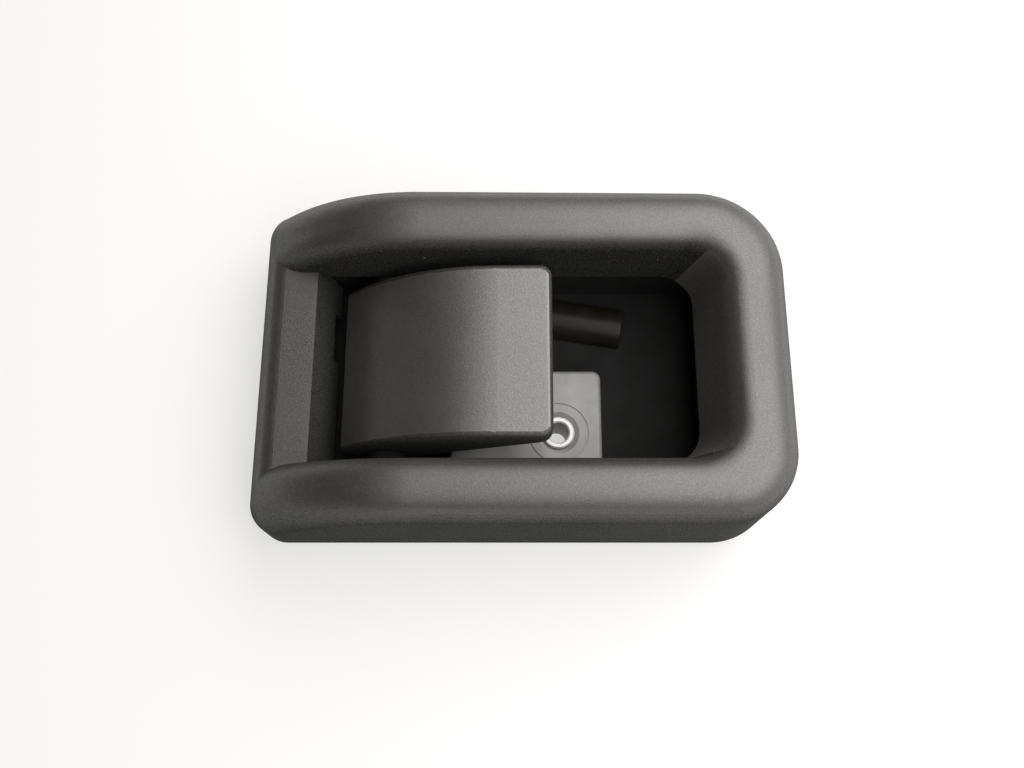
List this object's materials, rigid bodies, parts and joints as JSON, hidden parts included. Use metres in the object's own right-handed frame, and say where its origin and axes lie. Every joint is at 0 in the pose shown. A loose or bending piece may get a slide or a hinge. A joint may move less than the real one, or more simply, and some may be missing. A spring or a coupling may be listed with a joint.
{
  "type": "hood release handle",
  "caption": "Recessed hood release handle: a rounded bezel around a finger pocket, a sprung pull paddle on a pin with a cable arm behind it, and a screw sleeve in the pocket floor.",
  "frame": {"origin": "centre of the bounding box in plan, on the carrier's flat back face at z = 0", "axes": "+X along the length from the paddle's tail to the open end of the pocket, +Y across to the arm above the cable, +Z out of the panel"},
  "size_m": [0.1376, 0.0889, 0.0425],
  "materials": {
    "grained_plastic": "fine grain, satin black",
    "pocket_plastic": "matt black",
    "smooth_plastic": "smooth grey",
    "olive_plastic": "smooth dark olive",
    "pin_steel": "ground steel",
    "spring_steel": "drawn spring wire",
    "sleeve_steel": "zinc plated",
    "rubber": "matt black"
  },
  "bodies": {
    "housing": {"bezel": "grained_plastic", "pocket_wall": "pocket_plastic", "carrier": "pocket_plastic", "screw_pad": "smooth_plastic", "guide_ridge": "olive_plastic", "pivot_lug_near": "pocket_plastic", "pivot_lug_far": "pocket_plastic", "spring_stop": "pocket_plastic", "pivot_pin": "pin_steel", "return_spring": "spring_steel", "screw_bush": "sleeve_steel", "rest_buffer": "rubber"},
    "lever": {"paddle": "grained_plastic"}
  },
  "joints": [
    {"name": "paddle_pull", "type": "hinge", "parent": "housing", "child": "lever", "pos_m": [-0.034, -0.0006, 0.01769], "axis": [0, -1, 0], "range_deg": [0, 38], "stiffness_Nm_per_rad": 0.06, "springref_deg": -34.38, "deforming": ["return_spring"]}
  ]
}
